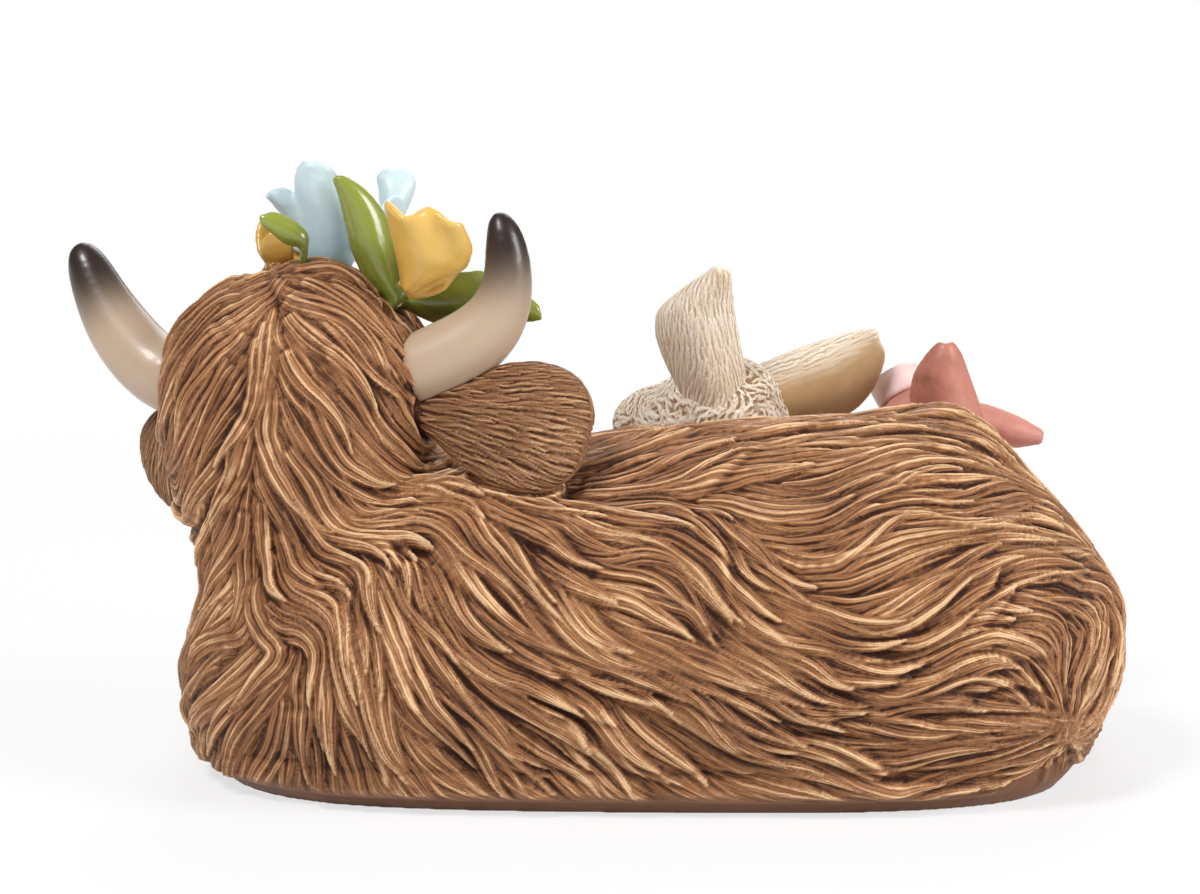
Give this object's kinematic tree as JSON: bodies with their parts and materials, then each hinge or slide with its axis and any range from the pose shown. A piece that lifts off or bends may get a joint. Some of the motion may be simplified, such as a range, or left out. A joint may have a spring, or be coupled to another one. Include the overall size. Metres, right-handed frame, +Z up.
{
  "type": "animal figurine",
  "caption": "Painted resin ornament of a long-haired horned cow that lies down in a flower crown, with a lamb and a piglet that look over its back.",
  "frame": {"origin": "on the ground, under the middle of the figurine's box", "axes": "+X from the cow's chest to its rump, +Y from the cow's back to the side that the faces look to, +Z up"},
  "size_m": [0.2334, 0.1241, 0.1335],
  "materials": {
    "fur": "painted resin, brown with a golden dry-brush",
    "plug": "bare resin",
    "dowel": "plain birch",
    "nose": "painted resin, pinkish brown",
    "eye": "gloss black",
    "horn": "varnished, cream at the root and dark brown at the tip",
    "hoof": "painted resin, dark brown",
    "blue_petal": "painted resin, light blue, satin",
    "yellow_petal": "painted resin, yellow, satin",
    "flower_centre": "painted resin, ochre",
    "leaf": "varnished green",
    "wool": "painted resin, cream with a brown wash",
    "pig_skin": "painted resin, pink with a brown wash",
    "snout": "painted resin, pale pink"
  },
  "bodies": {
    "root": {"torso": "fur", "pour_plug": "plug", "head": "fur", "neck_pin": "dowel", "forelock": "fur", "muzzle": "nose", "eyes": "eye", "horn_left": "horn", "horn_right": "horn", "horn_pins": "dowel", "ear_left": "fur", "ear_right": "fur", "foreleg_left": "fur", "foreleg_right": "fur", "fore_hooves": "hoof", "hind_leg": "fur", "hind_hoof": "hoof", "tail": "fur", "blue_flower": "blue_petal", "blue_flower_centre": "flower_centre", "yellow_flower_right": "yellow_petal", "yellow_flower_left": "yellow_petal", "yellow_flower_centres": "flower_centre", "leaf_1": "leaf", "leaf_2": "leaf", "leaf_3": "leaf", "leaf_4": "leaf", "leaf_5": "leaf", "lamb_body": "wool", "lamb_head": "wool", "lamb_ear_left": "wool", "lamb_ear_right": "wool", "lamb_eyes": "eye", "lamb_forelegs": "wool", "lamb_hooves": "hoof", "piglet_body": "pig_skin", "piglet_head": "pig_skin", "piglet_snout": "snout", "piglet_ear_left": "pig_skin", "piglet_ear_right": "pig_skin", "piglet_eyes": "eye", "piglet_forelegs": "pig_skin", "piglet_trotters": "hoof", "small_neck_pins": "dowel"}
  },
  "joints": []
}
